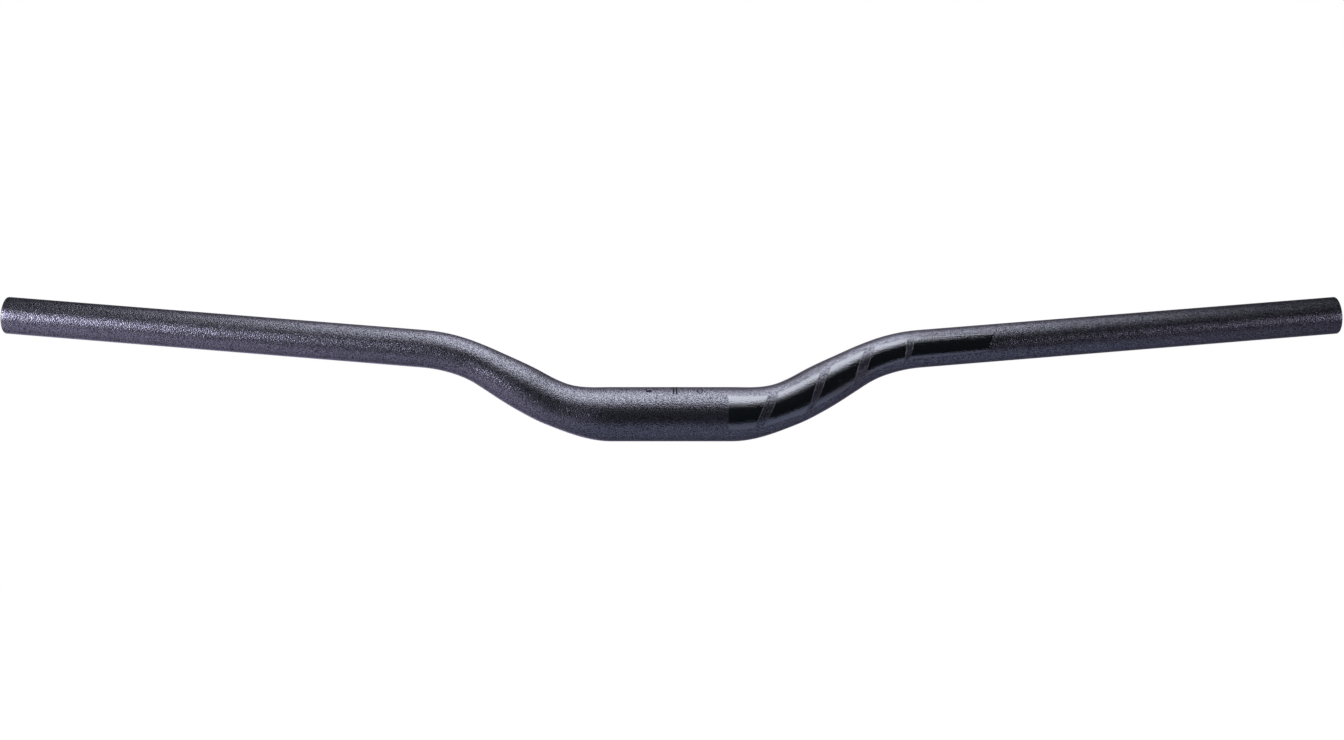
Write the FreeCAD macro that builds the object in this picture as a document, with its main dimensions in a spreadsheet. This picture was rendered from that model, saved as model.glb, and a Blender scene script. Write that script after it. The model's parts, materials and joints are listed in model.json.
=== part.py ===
import FreeCAD, Part

import math
import os

# A riser handlebar for a mountain bike: one aluminium tube, swaged thinner from the clamp out to the grips,
# then bent up beside the clamp and nearly level again before the grips.
# The origin is the middle of the stem clamp, on the tube's axis. +X runs along the clamp towards one grip,
# +Y back to the rider and +Z up. Lengths are in millimetres and angles in degrees.

SIZES = [
    ("overall_width", 800, "from the middle of one open end to the middle of the other, along X"),
    ("clamp_length", 71, "straight seat for the stem, between the two inner bends"),
    ("clamp_diameter", 31.8, "outside, at the stem"),
    ("shoulder_diameter", 26.7, "outside, between the two tapers"),
    ("grip_diameter", 22.2, "outside, at the grips and levers"),
    ("clamp_taper", 33, "length of the taper from the clamp to the shoulder, along the axis"),
    ("shoulder_length", 17, "length of the shoulder between the tapers, along the axis"),
    ("grip_taper", 42, "length of the taper from the shoulder to the grip, along the axis"),
    ("clamp_wall", 2.3, "thickness of the tube at the clamp"),
    ("shoulder_wall", 2.0, "thickness of the tube at the shoulder"),
    ("grip_wall", 1.9, "thickness of the tube at the grips"),
    ("rise", 37, "height of the outer bend's corner over the clamp's axis"),
    ("leg_run", 67.5, "distance along X from the inner bend's corner to the outer bend's"),
    ("leg_setback", 5, "distance back along Y from the one corner to the other"),
    ("inner_bend_radius", 88, "radius of the axis where the leg leaves the clamp"),
    ("outer_bend_radius", 97, "radius of the axis where the leg meets the grip"),
    ("upsweep", 5, "angle of the grips above level, seen from the front"),
    ("backsweep", 9, "angle of the grips towards the rider, seen from above"),
    ("end_round", 0.8, "radius of the outer edge of the open ends"),
    ("bore_chamfer", 0.5, "chamfer of the inner edge of the open ends, where the cut is deburred"),
]
# Each taper runs through this many circles. Their radii follow half a wave, so it has no edge at its ends.
TAPER_CIRCLES = 5
# The round and the chamfer of an open end take up at most this share of the wall each.
EDGE_SHARE = 0.45
# Lengths and places closer than this are the same.
SAME = 1e-6

doc = FreeCAD.newDocument("handlebar")
sheet = doc.addObject("Spreadsheet::Sheet", "sizes")
for row, (alias, value, meaning) in enumerate(SIZES, start=1):
    sheet.set(f"A{row}", alias)
    sheet.set(f"B{row}", str(value))
    sheet.set(f"C{row}", meaning)
    sheet.setAlias(f"B{row}", alias)
doc.recompute()


def size(alias):
    return float(getattr(sheet, alias))


# The tube's axis, from the middle of the clamp out to one end.
def bend(corner, way_in, way_out, radius):
    """The arc that rounds a corner of the axis, touching the ways in and out of it."""
    turn = way_in.getAngle(way_out)
    reach = radius * math.tan(turn / 2)
    depth = radius / math.cos(turn / 2) - radius
    inward = (way_out - way_in).normalize()
    return Part.Arc(corner - way_in * reach, corner + inward * depth, corner + way_out * reach).toShape()


def straight(start, end):
    return Part.LineSegment(start, end).toShape()


def half_axis():
    """Clamp, inner bend, leg, outer bend and grip. The inner bend starts where the clamp's seat ends."""
    clamp_way = FreeCAD.Vector(1, 0, 0)
    leg = FreeCAD.Vector(size("leg_run"), size("leg_setback"), size("rise"))
    leg_way = FreeCAD.Vector(leg).normalize()
    sweep = [math.tan(math.radians(size(angle))) for angle in ("backsweep", "upsweep")]
    grip_slope = FreeCAD.Vector(1, *sweep)
    grip_way = FreeCAD.Vector(grip_slope).normalize()

    inner_reach = size("inner_bend_radius") * math.tan(clamp_way.getAngle(leg_way) / 2)
    inner_corner = clamp_way * (size("clamp_length") / 2 + inner_reach)
    outer_corner = inner_corner + leg
    tip = outer_corner + grip_slope * (size("overall_width") / 2 - outer_corner.x)

    inner_bend = bend(inner_corner, clamp_way, leg_way, size("inner_bend_radius"))
    outer_bend = bend(outer_corner, leg_way, grip_way, size("outer_bend_radius"))
    return [
        straight(FreeCAD.Vector(), inner_bend.firstVertex().Point),
        inner_bend,
        straight(inner_bend.lastVertex().Point, outer_bend.firstVertex().Point),
        outer_bend,
        straight(outer_bend.lastVertex().Point, tip),
    ]


axis = half_axis()
axis_length = sum(edge.Length for edge in axis)


def stretch(start, end):
    """The edges of the axis between two lengths along it."""
    pieces = []
    passed = 0
    for edge in axis:
        low = max(start - passed, 0)
        high = min(end - passed, edge.Length)
        if high - low > SAME:
            first, last = edge.getParameterByLength(low), edge.getParameterByLength(high)
            pieces.append(edge.Curve.toShape(first, last))
        passed += edge.Length
    return pieces


def circle(name, length, radius):
    """A circle square to the axis, at a length along it. Its radius is an expression of the sizes."""
    if length > SAME:
        edge = stretch(0, length)[-1]
        place = edge.LastParameter
    else:
        edge = axis[0]
        place = edge.FirstParameter
    ring = doc.addObject("Part::Circle", name)
    ring.setExpression("Radius", radius)
    ring.Placement.Base = edge.valueAt(place)
    ring.Placement.Rotation = FreeCAD.Rotation(FreeCAD.Vector(0, 0, 1), edge.tangentAt(place))
    return ring


def even_span(name, start, end, radius):
    """A round bar of one radius, swept along a stretch of the axis."""
    spine = doc.addObject("Part::Feature", name + "_axis")
    spine.Shape = Part.Wire(stretch(start, end))
    span = doc.addObject("Part::Sweep", name)
    span.Sections = [circle(name + "_circle", start, radius)]
    span.Spine = (spine, [f"Edge{index}" for index in range(1, len(spine.Shape.Edges) + 1)])
    span.Solid = True
    return span


def tapered_span(name, start, end, first_radius, last_radius):
    """A round bar that goes from one radius to another, lofted along a stretch of the axis."""
    circles = []
    for index in range(TAPER_CIRCLES):
        share = index / (TAPER_CIRCLES - 1)
        weight = (1 - math.cos(math.pi * share)) / 2
        radius = f"({first_radius}) * {1 - weight} + ({last_radius}) * {weight}"
        circles.append(circle(f"{name}_circle_{index + 1}", start + (end - start) * share, radius))
    span = doc.addObject("Part::Loft", name)
    span.Sections = circles
    span.Solid = True
    return span


def half_bar(name, clamp_radius, shoulder_radius, grip_radius):
    """A round bar along the whole half axis, with both of its tapers."""
    clamp_end = size("clamp_length") / 2
    shoulder_start = clamp_end + size("clamp_taper")
    shoulder_end = shoulder_start + size("shoulder_length")
    grip_start = shoulder_end + size("grip_taper")
    bar = doc.addObject("Part::MultiFuse", name)
    bar.Shapes = [
        even_span(name + "_clamp", 0, clamp_end, clamp_radius),
        tapered_span(name + "_clamp_taper", clamp_end, shoulder_start, clamp_radius, shoulder_radius),
        even_span(name + "_shoulder", shoulder_start, shoulder_end, shoulder_radius),
        tapered_span(name + "_grip_taper", shoulder_end, grip_start, shoulder_radius, grip_radius),
        even_span(name + "_grip", grip_start, axis_length, grip_radius),
    ]
    return bar


# One half of the tube, from the middle of the clamp to an open end, rounded outside and deburred inside.
half_tube = doc.addObject("Part::Cut", "half_tube")
half_tube.Base = half_bar(
    "outside",
    "sizes.clamp_diameter / 2",
    "sizes.shoulder_diameter / 2",
    "sizes.grip_diameter / 2",
)
half_tube.Tool = half_bar(
    "bore",
    "sizes.clamp_diameter / 2 - sizes.clamp_wall",
    "sizes.shoulder_diameter / 2 - sizes.shoulder_wall",
    "sizes.grip_diameter / 2 - sizes.grip_wall",
)
doc.recompute()

tip = axis[-1].lastVertex().Point


def end_edges(shape, radius, cut):
    """The open end's circular edge of this radius, with the depth to cut it back on both sides."""
    depth = min(cut, size("grip_wall") * EDGE_SHARE)
    return [
        (index, depth, depth)
        for index, edge in enumerate(shape.Edges, start=1)
        if edge.Curve.TypeId == "Part::GeomCircle"
        and edge.Curve.Center.distanceToPoint(tip) < SAME
        and abs(edge.Curve.Radius - radius) < SAME
    ]


rounded_half = doc.addObject("Part::Fillet", "rounded_half")
rounded_half.Base = half_tube
rounded_half.Edges = end_edges(half_tube.Shape, size("grip_diameter") / 2, size("end_round"))
doc.recompute()

bore_radius = size("grip_diameter") / 2 - size("grip_wall")
deburred_half = doc.addObject("Part::Chamfer", "deburred_half")
deburred_half.Base = rounded_half
deburred_half.Edges = end_edges(rounded_half.Shape, bore_radius, size("bore_chamfer"))

# The other half is its mirror image across the middle of the clamp, and the two are one piece of tube.
other_half = doc.addObject("Part::Mirroring", "other_half")
other_half.Source = deburred_half
other_half.Normal = FreeCAD.Vector(1, 0, 0)

handlebar = doc.addObject("Part::MultiFuse", "handlebar")
handlebar.Label = "handlebar"
handlebar.Shapes = [deburred_half, other_half]
handlebar.Refine = True
doc.recompute()

for item in doc.Objects:
    if "Invalid" in item.State or "Error" in item.State:
        raise RuntimeError(f"{item.Label} failed: {item.State}")
if handlebar.Shape.isNull() or not handlebar.Shape.isValid():
    raise RuntimeError("the handlebar has no valid shape")
if len(handlebar.Shape.Solids) != 1:
    raise RuntimeError("the handlebar is not one solid")

os.makedirs("parts", exist_ok=True)
handlebar.Shape.exportStep(f"parts/{handlebar.Label}.step")
print(f"{handlebar.Label}: {handlebar.Shape.Volume:.1f} mm3, half axis {axis_length:.2f} mm")
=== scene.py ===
import json
import math

import bpy
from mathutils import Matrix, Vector


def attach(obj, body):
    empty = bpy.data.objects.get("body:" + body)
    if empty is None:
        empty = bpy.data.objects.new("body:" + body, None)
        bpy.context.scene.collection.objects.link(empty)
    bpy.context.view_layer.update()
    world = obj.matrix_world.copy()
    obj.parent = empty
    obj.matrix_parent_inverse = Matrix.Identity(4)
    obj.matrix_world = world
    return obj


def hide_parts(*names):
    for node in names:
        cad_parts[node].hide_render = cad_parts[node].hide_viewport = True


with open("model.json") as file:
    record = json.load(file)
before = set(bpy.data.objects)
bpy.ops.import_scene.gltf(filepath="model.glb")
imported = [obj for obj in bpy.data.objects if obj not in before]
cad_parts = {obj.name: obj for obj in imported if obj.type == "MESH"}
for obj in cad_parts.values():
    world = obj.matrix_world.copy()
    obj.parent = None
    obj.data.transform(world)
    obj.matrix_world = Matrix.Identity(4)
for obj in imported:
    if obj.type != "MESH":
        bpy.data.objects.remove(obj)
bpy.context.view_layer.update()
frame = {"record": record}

# The bar's axis. A bar is bent cold from one straight tube, around two formers on each side, so its axis
# is straight lines joined by arcs: clamp, inner bend, leg, outer bend and grip. +X points to one grip,
# +Y to the rider and +Z up.
MM = 0.001
mounts = {mount["name"]: mount for mount in frame["record"]["mounts"]}
clamp_end = mounts["stem_clamp"]["dims"]["length_mm"] / 2 * MM
half_width = 400 * MM
leg = Vector((67.5, 5, 37)) * MM
inner_bend = 88 * MM
outer_bend = 97 * MM
backsweep = math.radians(9)
upsweep = math.radians(5)

clamp_way = Vector((1, 0, 0))
leg_way = leg.normalized()
grip_slope = Vector((1, math.tan(backsweep), math.tan(upsweep)))
grip_way = grip_slope.normalized()
inner_turn = clamp_way.angle(leg_way)
outer_turn = leg_way.angle(grip_way)
inner_reach = inner_bend * math.tan(inner_turn / 2)
outer_reach = outer_bend * math.tan(outer_turn / 2)
inner_corner = clamp_way * (clamp_end + inner_reach)
outer_corner = inner_corner + leg
tip = outer_corner + grip_slope * (half_width - outer_corner.x)
leg_length = leg.length - inner_reach - outer_reach
grip_length = (tip - outer_corner).length - outer_reach
half_length = clamp_end + inner_bend * inner_turn + leg_length + outer_bend * outer_turn + grip_length

# One side of the axis: a place, the way there, and how far the curve's handles reach before and after it.
inner_pull = inner_bend * math.tan(inner_turn / 4) * 4 / 3
outer_pull = outer_bend * math.tan(outer_turn / 4) * 4 / 3
one_side = [
    (inner_corner - clamp_way * inner_reach, clamp_way, clamp_end * 2 / 3, inner_pull),
    (inner_corner + leg_way * inner_reach, leg_way, inner_pull, leg_length / 3),
    (outer_corner - leg_way * outer_reach, leg_way, leg_length / 3, outer_pull),
    (outer_corner + grip_way * outer_reach, grip_way, outer_pull, grip_length / 3),
    (tip, grip_way, grip_length / 3, grip_length / 3),
]
other_side = [
    (place * Vector((-1, 1, 1)), way * Vector((1, -1, -1)), after, before)
    for place, way, before, after in reversed(one_side)
]
axis_curve = bpy.data.curves.new("bar_axis", "CURVE")
axis_curve.dimensions = "3D"
axis_curve.resolution_u = 64
axis_spline = axis_curve.splines.new("BEZIER")
axis_spline.bezier_points.add(len(one_side) * 2 - 1)
for knot, (place, way, before, after) in zip(axis_spline.bezier_points, other_side + one_side):
    knot.handle_left_type = knot.handle_right_type = "FREE"
    knot.co = place
    knot.handle_left = place - way * before
    knot.handle_right = place + way * after
bar_axis = bpy.data.objects.new("bar_axis", axis_curve)
bpy.context.scene.collection.objects.link(bar_axis)


# Rolling onto the bar. Everything on the bar is first drawn flat: its X is the length along the axis, its Y
# the angle around the tube, from the front up, and its Z the height over the paint. This tree rolls it
# around the axis, at the radius that the tube has there after swaging.
bore_share = 0.8
crease = math.radians(40)


def put(tree, kind, feeds, **settings):
    """A node of a tree with its settings, its inputs fed by values or by other nodes' outputs."""
    node = tree.nodes.new(kind)
    for name, value in settings.items():
        setattr(node, name, value)
    for socket, source in feeds.items():
        if isinstance(source, bpy.types.NodeSocket):
            tree.links.new(source, node.inputs[socket])
        else:
            node.inputs[socket].default_value = source
    return node


roll = bpy.data.node_groups.new("roll_onto_bar", "GeometryNodeTree")
for socket_name, socket_kind in {
    "Flat": "NodeSocketGeometry",
    "Axis": "NodeSocketObject",
    "Clamp Radius": "NodeSocketFloat",
    "Shoulder Radius": "NodeSocketFloat",
    "Grip Radius": "NodeSocketFloat",
    "Clamp Wall": "NodeSocketFloat",
    "Shoulder Wall": "NodeSocketFloat",
    "Grip Wall": "NodeSocketFloat",
    "Clamp End": "NodeSocketFloat",
    "Shoulder Start": "NodeSocketFloat",
    "Shoulder End": "NodeSocketFloat",
    "Grip Start": "NodeSocketFloat",
    "Outside": "NodeSocketMaterial",
    "Inside": "NodeSocketMaterial",
}.items():
    roll.interface.new_socket(socket_name, in_out="INPUT", socket_type=socket_kind)
roll.interface.new_socket("Rolled", in_out="OUTPUT", socket_type="NodeSocketGeometry")
given = roll.nodes.new("NodeGroupInput").outputs

flat_place = put(roll, "GeometryNodeInputPosition", {}).outputs["Position"]
flat_parts = put(roll, "ShaderNodeSeparateXYZ", {0: flat_place}).outputs
along, around, height = flat_parts["X"], flat_parts["Y"], flat_parts["Z"]
through = put(
    roll, "GeometryNodeInputNamedAttribute", {"Name": "through_wall"}, data_type="FLOAT"
).outputs[0]

# Lengths along the axis are counted from its middle.
axis_line = put(roll, "GeometryNodeObjectInfo", {"Object": given["Axis"]}).outputs["Geometry"]
axis_length = put(roll, "GeometryNodeCurveLength", {"Curve": axis_line}).outputs["Length"]
from_end = put(
    roll, "ShaderNodeMath", {0: axis_length, 1: 0.5, 2: along}, operation="MULTIPLY_ADD"
).outputs[0]
axis_at = put(
    roll, "GeometryNodeSampleCurve", {"Curves": axis_line, "Length": from_end}, mode="LENGTH"
).outputs

# The radius and the wall go from the clamp's to the shoulder's over one taper, and on to the grip's over
# the next.
from_middle = put(roll, "ShaderNodeMath", {0: along}, operation="ABSOLUTE").outputs[0]
clamp_taper = put(
    roll,
    "ShaderNodeMapRange",
    {"Value": from_middle, "From Min": given["Clamp End"], "From Max": given["Shoulder Start"]},
    interpolation_type="SMOOTHSTEP",
).outputs["Result"]
grip_taper = put(
    roll,
    "ShaderNodeMapRange",
    {"Value": from_middle, "From Min": given["Shoulder End"], "From Max": given["Grip Start"]},
    interpolation_type="SMOOTHSTEP",
).outputs["Result"]


def swaged(size):
    """The tube's radius or wall along its length, after both tapers."""
    inner = put(
        roll, "ShaderNodeMix", {0: clamp_taper, 2: given[f"Clamp {size}"], 3: given[f"Shoulder {size}"]}
    ).outputs[0]
    return put(roll, "ShaderNodeMix", {0: grip_taper, 2: inner, 3: given[f"Grip {size}"]}).outputs[0]


proud_radius = put(roll, "ShaderNodeMath", {0: swaged("Radius"), 1: height}, operation="ADD").outputs[0]
depth = put(roll, "ShaderNodeMath", {0: through, 1: swaged("Wall")}, operation="MULTIPLY").outputs[0]
radius = put(roll, "ShaderNodeMath", {0: proud_radius, 1: depth}, operation="SUBTRACT").outputs[0]

# Square to the axis, one direction points up and the other to the front.
way = axis_at["Tangent"]
climb = put(roll, "ShaderNodeSeparateXYZ", {0: way}).outputs["Z"]
lean = put(roll, "ShaderNodeVectorMath", {0: way, "Scale": climb}, operation="SCALE").outputs[0]
upright = put(roll, "ShaderNodeVectorMath", {0: (0, 0, 1), 1: lean}, operation="SUBTRACT").outputs[0]
upward = put(roll, "ShaderNodeVectorMath", {0: upright}, operation="NORMALIZE").outputs[0]
forward = put(roll, "ShaderNodeVectorMath", {0: way, 1: upward}, operation="CROSS_PRODUCT").outputs[0]
cosine = put(roll, "ShaderNodeMath", {0: around}, operation="COSINE").outputs[0]
sine = put(roll, "ShaderNodeMath", {0: around}, operation="SINE").outputs[0]
ahead = put(roll, "ShaderNodeMath", {0: cosine, 1: radius}, operation="MULTIPLY").outputs[0]
above = put(roll, "ShaderNodeMath", {0: sine, 1: radius}, operation="MULTIPLY").outputs[0]
step_ahead = put(roll, "ShaderNodeVectorMath", {0: forward, "Scale": ahead}, operation="SCALE").outputs[0]
step_above = put(roll, "ShaderNodeVectorMath", {0: upward, "Scale": above}, operation="SCALE").outputs[0]
step = put(roll, "ShaderNodeVectorMath", {0: step_ahead, 1: step_above}, operation="ADD").outputs[0]
rolled_place = put(
    roll, "ShaderNodeVectorMath", {0: axis_at["Position"], 1: step}, operation="ADD"
).outputs[0]

# "unbent" keeps each point's place on the straight tube, for grain that runs along it.
unbent = put(roll, "ShaderNodeCombineXYZ", {"X": along, "Y": ahead, "Z": above}).outputs[0]
marked = put(
    roll,
    "GeometryNodeStoreNamedAttribute",
    {"Geometry": given["Flat"], "Name": "unbent", "Value": unbent},
    data_type="FLOAT_VECTOR",
    domain="POINT",
).outputs[0]
moved = put(roll, "GeometryNodeSetPosition", {"Geometry": marked, "Position": rolled_place}).outputs[0]
realized = put(roll, "GeometryNodeRealizeInstances", {"Geometry": moved}).outputs[0]
painted = put(
    roll, "GeometryNodeSetMaterial", {"Geometry": realized, "Material": given["Outside"]}
).outputs[0]
is_inside = put(
    roll, "FunctionNodeCompare", {0: through, 1: bore_share}, operation="GREATER_THAN"
).outputs[0]
lined = put(
    roll,
    "GeometryNodeSetMaterial",
    {"Geometry": painted, "Selection": is_inside, "Material": given["Inside"]},
).outputs[0]
put(roll, "NodeGroupOutput", {"Rolled": lined})

clamp_radius = mounts["stem_clamp"]["dims"]["r_mm"] * MM
grip_radius = mounts["left_grip"]["dims"]["r_mm"] * MM
bore_radius = mounts["left_end_bore"]["dims"]["r_mm"] * MM
grip_wall = grip_radius - bore_radius
tube_sizes = {
    "Axis": bar_axis,
    "Clamp Radius": clamp_radius,
    "Shoulder Radius": 13.35 * MM,
    "Grip Radius": grip_radius,
    "Clamp Wall": 2.3 * MM,
    "Shoulder Wall": 2.0 * MM,
    "Grip Wall": grip_wall,
    "Clamp End": clamp_end,
    "Shoulder Start": 68.5 * MM,
    "Shoulder End": 85.5 * MM,
    "Grip Start": 127.5 * MM,
}
roll_sockets = {item.name: item.identifier for item in roll.interface.items_tree if item.in_out == "INPUT"}


def rolled(name, flat, outside, inside):
    """A flat mesh rolled onto the bar, as a plain mesh."""
    piece = bpy.data.objects.new(name, flat)
    bpy.context.scene.collection.objects.link(piece)
    modifier = piece.modifiers.new("roll", "NODES")
    modifier.node_group = roll
    for size_name, value in (tube_sizes | {"Outside": outside, "Inside": inside}).items():
        modifier[roll_sockets[size_name]] = value
    evaluated = piece.evaluated_get(bpy.context.evaluated_depsgraph_get())
    mesh = bpy.data.meshes.new_from_object(evaluated)
    piece.modifiers.clear()
    piece.data = mesh
    bpy.data.meshes.remove(flat)
    mesh.shade_smooth()
    mesh.set_sharp_from_angle(angle=crease)
    return piece


# Grain. Flake in the paint, peel in the lacquer, the screen of the ink and the drawn bore are all a fine
# uneven grain, at their own sizes, so they share this group: a speckle from 0 to 1, stretched by the
# contrast, and a height. A finish takes its colour, its roughness and its relief from one such grain.
grain = bpy.data.node_groups.new("fine_grain", "ShaderNodeTree")
grain.interface.new_socket("Place", in_out="INPUT", socket_type="NodeSocketVector")
grain.interface.new_socket("Grains per Metre", in_out="INPUT", socket_type="NodeSocketFloat")
grain.interface.new_socket("Contrast", in_out="INPUT", socket_type="NodeSocketFloat")
grain.interface.new_socket("Speckle", in_out="OUTPUT", socket_type="NodeSocketFloat")
grain.interface.new_socket("Height", in_out="OUTPUT", socket_type="NodeSocketFloat")
grain_given = grain.nodes.new("NodeGroupInput").outputs
grain_middle = 0.5
cloud = put(
    grain,
    "ShaderNodeTexNoise",
    {"Vector": grain_given["Place"], "Scale": grain_given["Grains per Metre"], "Detail": 0.0},
).outputs["Fac"]
centred = put(grain, "ShaderNodeMath", {0: cloud, 1: grain_middle}, operation="SUBTRACT").outputs[0]
speckle = put(
    grain,
    "ShaderNodeMath",
    {0: centred, 1: grain_given["Contrast"], 2: grain_middle},
    operation="MULTIPLY_ADD",
    use_clamp=True,
).outputs[0]
put(grain, "NodeGroupOutput", {"Speckle": speckle, "Height": cloud})


def new_material(name):
    """A new material, with its tree and its shader's inputs."""
    material = bpy.data.materials.new(name)
    material.use_nodes = True
    return material, material.node_tree, material.node_tree.nodes["Principled BSDF"].inputs


def grained(tree, shader, place, per_metre, contrast, dark, light, dull, bright, relief):
    """Puts grain in a finish, from dark and dull to light and bright, and gives back its roughness."""
    grains = put(
        tree,
        "ShaderNodeGroup",
        {"Place": place, "Grains per Metre": per_metre, "Contrast": contrast},
        node_tree=grain,
    ).outputs
    colour = put(
        tree, "ShaderNodeMix", {0: grains["Speckle"], 6: (*dark, 1), 7: (*light, 1)}, data_type="RGBA"
    ).outputs[2]
    roughness = put(
        tree, "ShaderNodeMapRange", {"Value": grains["Speckle"], "To Min": dull, "To Max": bright}
    ).outputs["Result"]
    bump = put(
        tree, "ShaderNodeBump", {"Strength": 1.0, "Distance": relief, "Height": grains["Height"]}
    ).outputs["Normal"]
    tree.links.new(colour, shader["Base Color"])
    tree.links.new(roughness, shader["Roughness"])
    tree.links.new(bump, shader["Normal"])
    return roughness


# The tube is aluminium, drawn, swaged and bent, with open ends that are turned round outside and deburred
# inside. It is sprayed a satin dark grey with a faint violet, full of metal flake, and the bore is left
# bare.
flake_paint, tree, shader = new_material("flake_paint")
grained(
    tree,
    shader,
    put(tree, "ShaderNodeTexCoord", {}).outputs["Object"],
    per_metre=1700,
    contrast=3.5,
    dark=(0.018, 0.0177, 0.0191),
    light=(0.083, 0.0817, 0.088),
    dull=0.34,
    bright=0.28,
    relief=0.15 * MM,
)
shader["Metallic"].default_value = 0.95
shader["Specular Tint"].default_value = (0.4, 0.4, 0.4, 1)

# Drawing stretches the bore's grain along the tube.
drawn_out = (0.03, 1, 1)
bare_bore, tree, shader = new_material("bare_bore")
straight_place = put(tree, "ShaderNodeAttribute", {}, attribute_name="unbent").outputs["Vector"]
grained(
    tree,
    shader,
    put(tree, "ShaderNodeVectorMath", {0: straight_place, 1: drawn_out}, operation="MULTIPLY").outputs[0],
    per_metre=1800,
    contrast=2.0,
    dark=(0.34, 0.34, 0.35),
    light=(0.56, 0.56, 0.57),
    dull=0.55,
    bright=0.38,
    relief=0.04 * MM,
)
shader["Metallic"].default_value = 1.0

end_round = 0.8 * MM
bore_chamfer = 0.5 * MM
facets = 96
lip_steps = 5
outside_step = 3 * MM
bore_step = 6 * MM


def run(end, pitch):
    """Lengths from one end of the bar to the other."""
    count = round(2 * end / pitch)
    return [end * (2 * index / count - 1) for index in range(count + 1)]


# The wall's profile, once around it: lengths along the axis, with the share of the wall's thickness that is
# passed inward.
lip = [
    (half_length - end_round * (1 - math.sin(angle)), end_round * (1 - math.cos(angle)) / grip_wall)
    for angle in (math.pi / 2 * index / lip_steps for index in range(1, lip_steps + 1))
] + [(half_length, 1 - bore_chamfer / grip_wall)]
profile = [(length, 0) for length in run(half_length - end_round, outside_step)] + lip
profile += [(-length, 1) for length in run(half_length - bore_chamfer, bore_step)]
profile += [(-length, share) for length, share in reversed(lip)]

tube_sheet = bpy.data.meshes.new("tube_sheet")
tube_sheet.from_pydata(
    [(length, math.tau * facet / facets, 0) for length, share in profile for facet in range(facets)],
    [],
    [
        (
            row * facets + facet,
            (row + 1) % len(profile) * facets + facet,
            (row + 1) % len(profile) * facets + (facet + 1) % facets,
            row * facets + (facet + 1) % facets,
        )
        for row in range(len(profile))
        for facet in range(facets)
    ],
)
wall_share = tube_sheet.attributes.new("through_wall", "FLOAT", "POINT")
wall_share.data.foreach_set("value", [share for length, share in profile for facet in range(facets)])
tube = rolled("tube", tube_sheet, flake_paint, bare_bore)
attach(tube, "root")
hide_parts("handlebar")


# The gloss blocks are a black lacquer band on the front of one side, masked into five slanted blocks as it
# was sprayed. The lacquer draws up into a matt bead along each gap and a smaller one along the top, and
# thins out below. Sizes are in millimetres over the paint and along the axis, and angles in degrees.

# Each block: where it starts and stops along the axis, at its upper and at its lower edge.
block_ends = [
    ((33.0, 58.8), (33.0, 46.6)),
    ((65.2, 94.2), (51.4, 75.2)),
    ((100.6, 122.4), (79.4, 107.2)),
    ((127.8, 146.6), (114.6, 141.9)),
    ((150.0, 197.3), (144.6, 192.8)),
]
# The band's edges, as angles from the front at lengths along the axis.
band_top = [(33, 41.8), (59, 37), (75, 39.5), (95, 38), (108, 40.8), (122, 39), (150, 36), (197, 27)]
band_foot = [(33, -36), (75, -41), (115, -38), (150, -32), (200, -27)]
block_columns = 40
block_rows = 30
bead_rings = 8
bead_width = 0.7
gap_bead = 0.065
top_bead = 0.05
bead_roughness = 0.42
film = 0.05
film_start = -0.01
film_rise = 0.25
end_rise = 1.0
film_fade = 2.0
sunk = -0.03 * MM


def between(stations, length):
    """The value at a length, on straight lines between the stations."""
    for (low, low_value), (high, high_value) in zip(stations, stations[1:]):
        if length <= high:
            break
    return low_value + (high_value - low_value) * (length - low) / (high - low)


def tube_radius(length):
    """The tube's outer radius in millimetres at a length along the axis, as the tree above has it."""
    sizes = {name: value / MM for name, value in tube_sizes.items() if name != "Axis"}

    def passed(start, end):
        share = min(max((length - sizes[start]) / (sizes[end] - sizes[start]), 0), 1)
        return share * share * (3 - 2 * share)

    inner = (sizes["Shoulder Radius"] - sizes["Clamp Radius"]) * passed("Clamp End", "Shoulder Start")
    outer = (sizes["Grip Radius"] - sizes["Shoulder Radius"]) * passed("Shoulder End", "Grip Start")
    return sizes["Clamp Radius"] + inner + outer


gloss_lacquer, tree, shader = new_material("gloss_lacquer")
peel_roughness = grained(
    tree,
    shader,
    put(tree, "ShaderNodeTexCoord", {}).outputs["Object"],
    per_metre=1400,
    contrast=2.4,
    dark=(0.0012, 0.0014, 0.0014),
    light=(0.0028, 0.0032, 0.0032),
    dull=0.13,
    bright=0.09,
    relief=0.11 * MM,
)
on_bead = put(tree, "ShaderNodeAttribute", {}, attribute_name="matt_bead").outputs["Fac"]
lacquer_roughness = put(
    tree, "ShaderNodeMix", {0: on_bead, 2: peel_roughness, 3: bead_roughness}
).outputs[0]
tree.links.new(lacquer_roughness, shader["Roughness"])
shader["IOR"].default_value = 1.7


def across(start, end, count):
    """Steps across a block, close together under the beads at its edges and even between them."""
    rings = [bead_width * ring / bead_rings for ring in range(bead_rings + 1)]
    low, high = start + bead_width, end - bead_width
    inner = [low + (high - low) * index / count for index in range(1, count)]
    return [start + ring for ring in rings] + inner + [end - ring for ring in reversed(rings)]


def bead(distance):
    """The bead's height at a distance from the edge that it follows, from 0 to 1."""
    return math.sin(math.pi * distance / bead_width) ** 2 if distance < bead_width else 0


def lacquer_height(to_end, to_gap, to_top, to_foot):
    """The lacquer's height, by the distance to the block's nearer end, the nearer gap, its top and foot."""
    full = min(1, to_end / end_rise, to_top / film_rise, to_foot / film_fade)
    ridge = max(gap_bead * bead(to_gap), top_bead * bead(to_top)) * min(1, to_foot / film_fade)
    return film_start + (film - film_start) * full + ridge


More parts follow.
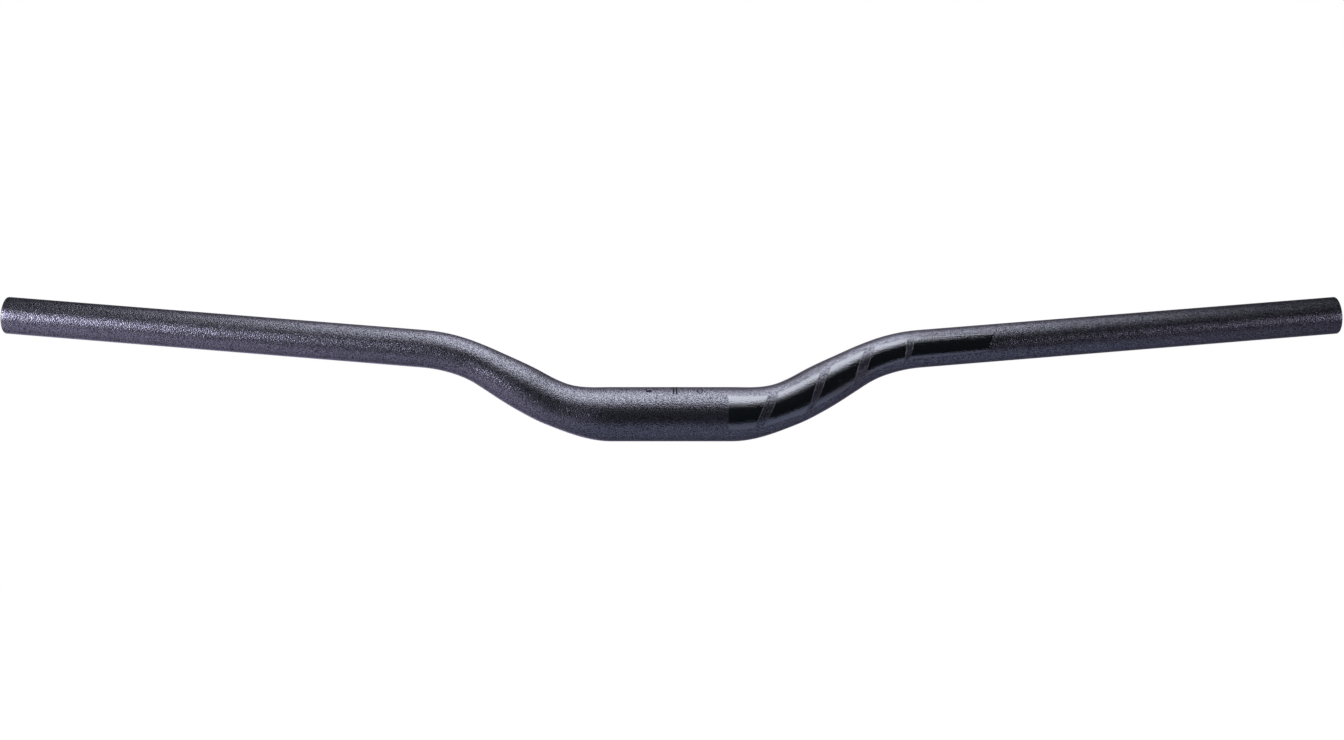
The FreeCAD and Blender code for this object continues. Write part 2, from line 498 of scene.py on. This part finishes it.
block_places = []
block_faces = []
block_matt = []
band_start, band_end = block_ends[0][0][0], block_ends[-1][0][1]
for (top_start, top_end), (foot_start, foot_end) in block_ends:
    middle = (top_start + foot_end) / 2
    drop = math.radians(between(band_top, middle) - between(band_foot, middle)) * tube_radius(middle)
    rows = [height / drop for height in across(0, drop, block_rows)]
    first = len(block_places)
    upper = []
    under = []
    matt = []
    for up in rows:
        start = foot_start + (top_start - foot_start) * up
        end = foot_end + (top_end - foot_end) * up
        columns = across(start, end, block_columns)
        for length in columns:
            foot, top = between(band_foot, length), between(band_top, length)
            angle = math.radians(foot + (top - foot) * up)
            tall = math.radians(top - foot) * tube_radius(length)
            to_start = length - start
            to_stop = end - length
            gap_before = math.inf if top_start == band_start else to_start
            gap_after = math.inf if top_end == band_end else to_stop
            to_gap = min(gap_before, gap_after)
            height = lacquer_height(min(to_start, to_stop), to_gap, tall * (1 - up), tall * up)
            upper.append((length * MM, angle, height * MM))
            under.append((length * MM, angle, sunk))
            matt.append(max(0, 1 - to_gap / bead_width) ** 0.5)
    block_places += upper + under
    block_matt += matt + matt
    wide = len(columns)
    layer = len(upper)
    for row in range(len(rows) - 1):
        for column in range(wide - 1):
            a = first + row * wide + column
            b = a + wide
            block_faces.append((a, a + 1, b + 1, b))
            block_faces.append((a + layer, b + layer, b + 1 + layer, a + 1 + layer))
    rim = (
        [first + column for column in range(wide)]
        + [first + row * wide + wide - 1 for row in range(1, len(rows))]
        + [first + (len(rows) - 1) * wide + column for column in range(wide - 2, -1, -1)]
        + [first + row * wide for row in range(len(rows) - 2, 0, -1)]
    )
    for a, b in zip(rim, rim[1:] + rim[:1]):
        block_faces.append((b, a, a + layer, b + layer))
block_sheet = bpy.data.meshes.new("block_sheet")
block_sheet.from_pydata(block_places, [], block_faces)
block_sheet.attributes.new("matt_bead", "FLOAT", "POINT").data.foreach_set("value", block_matt)
gloss_blocks = rolled("gloss_blocks", block_sheet, gloss_lacquer, gloss_lacquer)
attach(gloss_blocks, "root")


# The setting marks are printed in dark matt ink on top of the clamp: two fine lines, with a dash to one
# side of them and a ring to the other, which line the bar up in the stem. Sizes are in millimetres, and
# angles in degrees from the front.
mark_lines = [1.22, 2.97]
line_width = 0.9
line_span = (45, 112)
dash_span = (-14.9, -11.4)
dash_angle = 56
dash_width = 2.0
ring_middle = 16.6
ring_angle = 58
ring_reach = (1.8, 3.0)
ring_width = 0.7
ink = 0.02 * MM
line_steps = 40
dash_steps = 4
ring_steps = 48

mark_ink, tree, shader = new_material("mark_ink")
grained(
    tree,
    shader,
    put(tree, "ShaderNodeTexCoord", {}).outputs["Object"],
    per_metre=1500,
    contrast=2.5,
    dark=(0.003, 0.003, 0.004),
    light=(0.008, 0.008, 0.009),
    dull=0.7,
    bright=0.6,
    relief=0.01 * MM,
)
shader["Specular IOR Level"].default_value = 0.02

mark_places = []
mark_faces = []


def draw_stroke(left, right, closed):
    """A flat stroke of ink between two rows of points, closed below the paint."""
    first = len(mark_places)
    count = len(left)
    for lift in (ink, sunk):
        for side in (left, right):
            mark_places.extend((length, angle, lift) for length, angle in side)
    for index in range(count if closed else count - 1):
        a = first + index
        b = first + (index + 1) % count
        mark_faces.append((a, a + count, b + count, b))
        mark_faces.append((a + 2 * count, b + 2 * count, b + 3 * count, a + 3 * count))
        mark_faces.append((a, b, b + 2 * count, a + 2 * count))
        mark_faces.append((a + count, a + 3 * count, b + 3 * count, b + count))
    if not closed:
        a = first
        b = first + count - 1
        mark_faces.append((a, a + 2 * count, a + 3 * count, a + count))
        mark_faces.append((b, b + count, b + 3 * count, b + 2 * count))


def draw_bar(start, end, low, high, steps):
    """A bar of ink between two lengths along the axis and two angles around the clamp."""
    angles = [low + (high - low) * index / steps for index in range(steps + 1)]
    draw_stroke([(start * MM, angle) for angle in angles], [(end * MM, angle) for angle in angles], False)


def ring_edge(inset):
    """One edge of the ring, this far inside its outer edge."""
    wide, tall = (reach - inset for reach in ring_reach)
    turns = [math.tau * index / ring_steps for index in range(ring_steps)]
    return [
        (
            (ring_middle + wide * math.cos(turn)) * MM,
            math.radians(ring_angle) + tall * MM / clamp_radius * math.sin(turn),
        )
        for turn in turns
    ]


for line in mark_lines:
    draw_bar(line - line_width / 2, line + line_width / 2, *map(math.radians, line_span), line_steps)
dash_middle = math.radians(dash_angle)
dash_half = dash_width / 2 * MM / clamp_radius
draw_bar(*dash_span, dash_middle - dash_half, dash_middle + dash_half, dash_steps)
draw_stroke(ring_edge(ring_width), ring_edge(0), True)
mark_sheet = bpy.data.meshes.new("mark_sheet")
mark_sheet.from_pydata(mark_places, [], mark_faces)
setting_marks = rolled("setting_marks", mark_sheet, mark_ink, mark_ink)
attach(setting_marks, "root")
bpy.data.objects.remove(bar_axis)


# The studio floor is a sheet of white paper, lit until it is as white as the space behind it. Only the
# camera sees it so: the room around the bar is dark, and what the bar reflects is the boxes and cards that
# follow.
floor_height = -0.45
floor_reach = 12
paper_white = (1, 1, 1, 1)
dark_room = (0.008, 0.014, 0.017, 1)
floor_mesh = bpy.data.meshes.new("floor")
floor_mesh.from_pydata(
    [(x * floor_reach, y * floor_reach, floor_height) for x, y in ((-1, -1), (1, -1), (1, 1), (-1, 1))],
    [],
    [(0, 1, 2, 3)],
)
floor_paper, tree, shader = new_material("floor_paper")
shader["Base Color"].default_value = (0.9, 0.9, 0.9, 1)
shader["Roughness"].default_value = 0.9
shader["Emission Color"].default_value = paper_white
shader["Emission Strength"].default_value = 1.0
floor_mesh.materials.append(floor_paper)
floor = bpy.data.objects.new("floor", floor_mesh)
floor.visible_glossy = False
floor.visible_diffuse = False
floor.visible_shadow = False
bpy.context.scene.collection.objects.link(floor)

world = bpy.data.worlds.new("studio")
world.use_nodes = True
bpy.context.scene.world = world
seen = put(world.node_tree, "ShaderNodeLightPath", {}).outputs["Is Camera Ray"]
studio_colour = put(
    world.node_tree, "ShaderNodeMix", {0: seen, 6: dark_room, 7: paper_white}, data_type="RGBA"
).outputs[2]
world.node_tree.links.new(studio_colour, world.node_tree.nodes["Background"].inputs["Color"])


# Softboxes: one overhead, brightest in the middle and fading to the front and the back, a strong one on
# the left and a weak one on the right, and weak pairs beside and behind the bar for the other sides. White
# cards on the floor and a white wall behind throw some of that light back.
overhead_height = 1.0
bar_middle = Vector((0, 0, 0.03))
stand_distance = 2
card_lift = 0.01
card_height = floor_height + card_lift


def softbox(name, place, aim, width, depth, brightness, tint):
    """An evenly bright rectangle that faces a point, seen only in what it lights."""
    light = bpy.data.lights.new(name, "AREA")
    light.shape = "RECTANGLE"
    light.size = width
    light.size_y = depth
    light.energy = brightness * math.pi * width * depth
    light.color = tint
    box = bpy.data.objects.new(name, light)
    box.location = place
    box.rotation_euler = (Vector(aim) - Vector(place)).to_track_quat("-Z", "Y").to_euler()
    box.visible_camera = False
    bpy.context.scene.collection.objects.link(box)


def hang(name, middle, width, depth, brightness, tint):
    """A softbox over the bar, facing down."""
    softbox(name, (*middle, overhead_height), (*middle, 0), width, depth, brightness, tint)


def stand(name, azimuth, elevation, width, height, brightness, tint):
    """A softbox on a stand and facing the bar, at angles from straight in front of it and from level."""
    turn, lift = math.radians(azimuth), math.radians(elevation)
    way = Vector((math.sin(turn) * math.cos(lift), -math.cos(turn) * math.cos(lift), math.sin(lift)))
    softbox(name, bar_middle + way * stand_distance, bar_middle, width, height, brightness, tint)


def lay(name, left, right, front, back, brightness, tint):
    """A white card on the floor, facing up."""
    middle = ((left + right) / 2, (front + back) / 2)
    softbox(name, (*middle, card_height), (*middle, 0), right - left, back - front, brightness, tint)


cool = (0.96, 1.0, 1.15)
rosy = (1.0, 0.98, 1.27)
pink = (1.03, 0.96, 1.25)
violet = (1.04, 0.966, 1.38)
blue = (0.92, 1.0, 1.48)
hang("overhead_core", middle=(-0.02, 0.08), width=0.68, depth=0.45, brightness=8.8, tint=cool)
hang("overhead_wide", middle=(-0.01, -0.34), width=0.83, depth=1.1, brightness=7.8, tint=cool)
hang("overhead_front", middle=(-0.06, -0.98), width=1.06, depth=1.07, brightness=2.2, tint=cool)
hang("overhead_back", middle=(-0.02, 0.85), width=0.8, depth=1.25, brightness=2.4, tint=pink)
stand("left_box", azimuth=-59.5, elevation=2, width=0.86, height=1.11, brightness=33, tint=rosy)
stand("right_box", azimuth=64.5, elevation=-4, width=1.13, height=0.68, brightness=8, tint=pink)
stand("back_wall", azimuth=186, elevation=14, width=2.4, height=1.78, brightness=0.42, tint=pink)
for side, sign in (("left", -1), ("right", 1)):
    stand(
        f"side_{side}_box", azimuth=sign * 105, elevation=30, width=1, height=1, brightness=2.5, tint=cool
    )
    stand(
        f"rear_{side}_box", azimuth=sign * 125, elevation=6, width=0.9, height=1.1, brightness=7, tint=rosy
    )
near_cards = {"front": -0.45, "back": 0.51}
back_cards = {"front": 0.59, "back": 3.0}
lay("far_left_card", left=-2.07, right=-0.87, **near_cards, brightness=5.5, tint=violet)
lay("left_card", left=-0.87, right=-0.33, **near_cards, brightness=1.75, tint=violet)
lay("middle_card", left=-0.33, right=0.54, **near_cards, brightness=0.93, tint=blue)
lay("right_card", left=0.54, right=1.21, **near_cards, brightness=0.55, tint=violet)
lay("back_left_card", left=-1.2, right=-0.15, **back_cards, brightness=3.0, tint=violet)
lay("back_right_card", left=-0.15, right=1.0, **back_cards, brightness=1.0, tint=violet)

# The camera stands square to the bar's front and a little below it. Its focal length is given in pixels of
# the picture, and the lens is that length on a sensor as wide as the picture.
camera_distance = 1.8
camera_drop = math.radians(1.65)
picture_width = 1344
focal_pixels = 3074.5
picture_middle = Vector((0.0003, 0, 0.0259))
camera_data = bpy.data.cameras.new("camera")
camera_data.sensor_width = 36
camera_data.lens = focal_pixels / picture_width * camera_data.sensor_width
camera = bpy.data.objects.new("camera", camera_data)
camera.location = (0, -camera_distance * math.cos(camera_drop), -camera_distance * math.sin(camera_drop))
camera.rotation_euler = (picture_middle - camera.location).to_track_quat("-Z", "Y").to_euler()
bpy.context.scene.collection.objects.link(camera)
bpy.context.scene.camera = camera
bpy.context.scene.view_settings.view_transform = "Standard"
